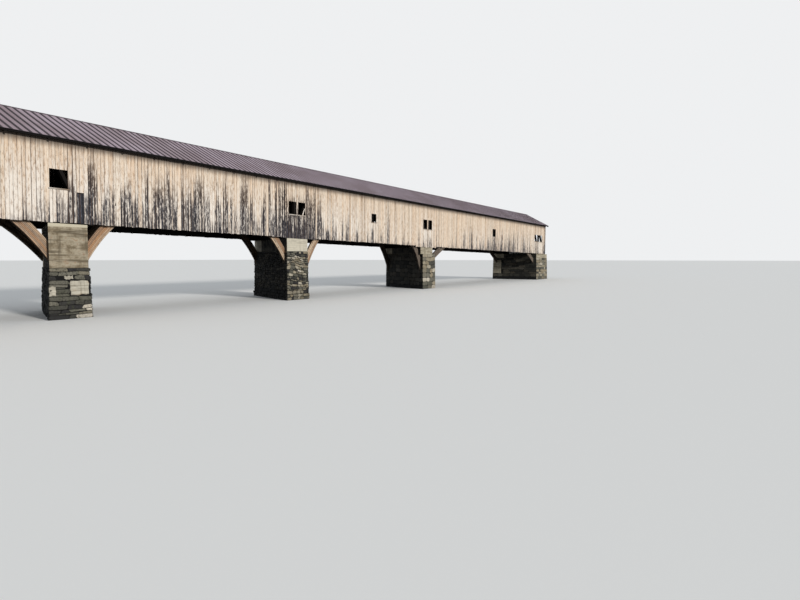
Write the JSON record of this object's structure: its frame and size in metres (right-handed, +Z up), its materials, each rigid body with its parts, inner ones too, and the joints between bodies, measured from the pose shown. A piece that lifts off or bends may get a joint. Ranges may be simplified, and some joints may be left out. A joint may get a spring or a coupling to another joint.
{
  "type": "covered timber bridge, 1:10 scale model",
  "caption": "Long covered timber bridge on stone piers with laminated arches, board siding, small windows and a metal gable roof, as a 1:10 scale model.",
  "frame": {"origin": "middle of the bridge's length and width, at the level of the river where the piers stand", "axes": "+X along the bridge toward its lower end, +Y from the near board wall to the far one, +Z up"},
  "size_m": [11.5424, 0.81, 1.3261],
  "materials": {
    "stone": "rough coursed rubble",
    "concrete": "board-marked weathered concrete",
    "dark_timber": "rough sawn, darkened",
    "arch_timber": "laminated planks, weathered",
    "siding_boards": "weathered vertical boards",
    "roof_metal": "painted standing-seam sheet",
    "fascia_boards": "dark painted board"
  },
  "bodies": {
    "root": {"left_abutment_stone": "stone", "left_abutment_cap": "concrete", "pier_1_stone": "stone", "pier_1_cap": "concrete", "pier_2_stone": "stone", "pier_2_cap": "concrete", "pier_3_stone": "stone", "pier_3_cap": "concrete", "right_abutment_stone": "stone", "right_abutment_cap": "concrete", "bearing_timbers": "dark_timber", "near_bottom_chord": "dark_timber", "near_top_chord": "dark_timber", "near_truss_web": "dark_timber", "near_arch_1": "arch_timber", "near_siding_1": "siding_boards", "near_arch_2": "arch_timber", "near_siding_2": "siding_boards", "near_arch_3": "arch_timber", "near_siding_3": "siding_boards", "near_arch_4": "arch_timber", "near_siding_4": "siding_boards", "near_wall_rails": "dark_timber", "near_window_sills": "siding_boards", "near_rafters": "dark_timber", "near_roof_slope": "roof_metal", "far_bottom_chord": "dark_timber", "far_top_chord": "dark_timber", "far_truss_web": "dark_timber", "far_arch_1": "arch_timber", "far_siding_1": "siding_boards", "far_arch_2": "arch_timber", "far_siding_2": "siding_boards", "far_arch_3": "arch_timber", "far_siding_3": "siding_boards", "far_arch_4": "arch_timber", "far_siding_4": "siding_boards", "far_wall_rails": "dark_timber", "far_window_sills": "siding_boards", "far_rafters": "dark_timber", "far_roof_slope": "roof_metal", "floor_beams": "dark_timber", "floor_stringers": "dark_timber", "road_deck": "dark_timber", "tie_beams": "dark_timber", "ridge_cap": "roof_metal", "eave_fascias": "fascia_boards", "gables": "siding_boards", "portal_jambs": "siding_boards"}
  },
  "joints": []
}
